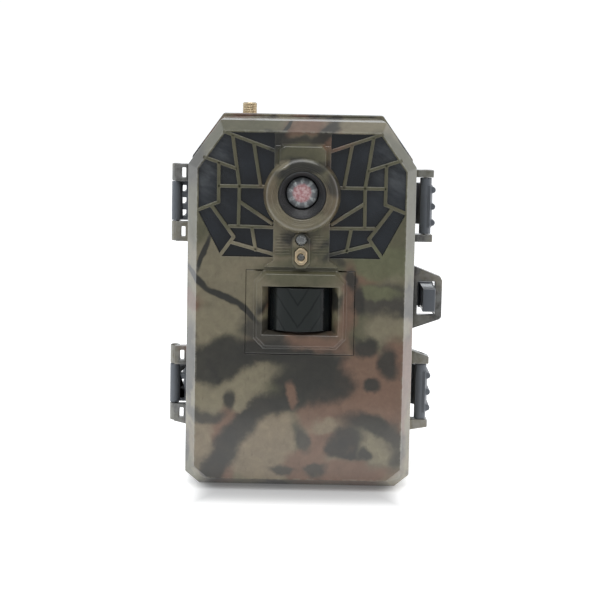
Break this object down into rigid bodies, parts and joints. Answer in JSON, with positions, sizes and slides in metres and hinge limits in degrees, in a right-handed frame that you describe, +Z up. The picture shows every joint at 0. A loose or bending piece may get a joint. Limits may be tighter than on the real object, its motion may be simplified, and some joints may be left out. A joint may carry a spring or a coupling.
{
  "type": "trail camera",
  "caption": "Battery-powered wildlife camera in a hinged, latched clamshell case with infrared lamps, motion sensor and tree bracket.",
  "frame": {"origin": "on the ground, on the plane of symmetry of the case, 7.5 mm behind the plane where the two halves meet", "axes": "+Z up, -Y the way the lens looks, +X the latch side"},
  "size_m": [0.1083, 0.091, 0.1462],
  "materials": {
    "camo_shell": "glossy camouflage print",
    "dark_plastic": "satin moulded",
    "black_plastic": "satin moulded",
    "smoked_acrylic": "polished, near black",
    "motion_lens": "polished, thin and dark",
    "optical_glass": "polished and coated",
    "clear_plastic": "clear, polished",
    "gilt": "gilt",
    "steel": "plain",
    "brass": "turned",
    "rubber": "matt",
    "circuit_board": "solder mask",
    "display": "polished",
    "key_rubber": "matt",
    "cell_can": "plain printed sleeve",
    "card_plastic": "matt"
  },
  "bodies": {
    "rear": {"rear_housing": "camo_shell", "housing_gasket": "rubber", "hinge_block_upper": "dark_plastic", "hinge_block_lower": "dark_plastic", "hinge_pin_upper": "steel", "hinge_pin_lower": "steel", "battery_tray": "black_plastic", "battery_cell_1": "cell_can", "battery_cell_2": "cell_can", "battery_cell_3": "cell_can", "battery_cell_4": "cell_can", "battery_cell_5": "cell_can", "battery_cell_6": "cell_can", "battery_cell_7": "cell_can", "battery_cell_8": "cell_can", "battery_spring_left": "steel", "battery_spring_right": "steel", "modem_board": "circuit_board", "modem_cover": "black_plastic", "sma_connector": "gilt", "sma_nut": "gilt", "tripod_insert": "brass", "power_jack": "black_plastic", "tree_bracket": "camo_shell", "bracket_screw_left": "steel", "bracket_screw_right": "steel"},
    "door": {"front_cover": "camo_shell", "pir_frame": "camo_shell", "pir_lens": "motion_lens", "pir_housing": "black_plastic", "lens_bezel": "black_plastic", "lens_barrel": "black_plastic", "lens_holder": "black_plastic", "inner_panel": "black_plastic", "pir_sensor": "steel", "panel_screw_1": "steel", "panel_screw_2": "steel", "latch_pin_upper": "steel", "latch_pin_lower": "steel", "ir_window_left": "smoked_acrylic", "ir_window_right": "smoked_acrylic", "led_board_left": "circuit_board", "led_board_right": "circuit_board", "main_board": "circuit_board", "lens_glass": "optical_glass", "status_led": "clear_plastic", "light_sensor_bezel": "gilt", "lcd_display": "display"},
    "battery_cover": {"battery_cover": "black_plastic"},
    "infrared_filter": {"ir_cut_filter": "optical_glass"},
    "mode_switch": {"mode_switch": "key_rubber"},
    "memory_card": {"memory_card": "card_plastic"},
    "latch_upper": {"latch_upper": "dark_plastic"},
    "latch_lower": {"latch_lower": "dark_plastic"},
    "power_plug": {"power_plug": "rubber"},
    "key_ok": {"key_ok": "key_rubber"},
    "key_up": {"key_up": "key_rubber"},
    "key_down": {"key_down": "key_rubber"},
    "key_left": {"key_left": "key_rubber"},
    "key_right": {"key_right": "key_rubber"}
  },
  "joints": [
    {"name": "door_hinge", "type": "hinge", "parent": "rear", "child": "door", "pos_m": [-0.05, -0.0072, 0.07], "axis": [0, 0, -1], "range_deg": [0, 130]},
    {"name": "latch_upper_pivot", "type": "hinge", "parent": "door", "child": "latch_upper", "pos_m": [0.0487, -0.0135, 0.1071], "axis": [0, 0, -1], "range_deg": [0, 95]},
    {"name": "latch_lower_pivot", "type": "hinge", "parent": "door", "child": "latch_lower", "pos_m": [0.0487, -0.0135, 0.0329], "axis": [0, 0, -1], "range_deg": [0, 95]},
    {"name": "battery_cover_slide", "type": "slide", "parent": "rear", "child": "battery_cover", "axis": [0, 0, 1], "range_m": [0, 0.055]},
    {"name": "infrared_filter_slide", "type": "slide", "parent": "door", "child": "infrared_filter", "axis": [1, 0, 0], "range_m": [0, 0.0038]},
    {"name": "mode_switch_slide", "type": "slide", "parent": "door", "child": "mode_switch", "axis": [1, 0, 0], "range_m": [0, 0.0065]},
    {"name": "memory_card_slide", "type": "slide", "parent": "door", "child": "memory_card", "axis": [0, 0, -1], "range_m": [0, 0.028]},
    {"name": "power_plug_slide", "type": "slide", "parent": "rear", "child": "power_plug", "axis": [0, 0, -1], "range_m": [0, 0.009]},
    {"name": "key_ok_press", "type": "slide", "parent": "door", "child": "key_ok", "axis": [0, -1, 0], "range_m": [0, 0.0008], "stiffness_N_per_m": 1500},
    {"name": "key_up_press", "type": "slide", "parent": "door", "child": "key_up", "axis": [0, -1, 0], "range_m": [0, 0.0008], "stiffness_N_per_m": 1500},
    {"name": "key_down_press", "type": "slide", "parent": "door", "child": "key_down", "axis": [0, -1, 0], "range_m": [0, 0.0008], "stiffness_N_per_m": 1500},
    {"name": "key_left_press", "type": "slide", "parent": "door", "child": "key_left", "axis": [0, -1, 0], "range_m": [0, 0.0008], "stiffness_N_per_m": 1500},
    {"name": "key_right_press", "type": "slide", "parent": "door", "child": "key_right", "axis": [0, -1, 0], "range_m": [0, 0.0008], "stiffness_N_per_m": 1500}
  ]
}
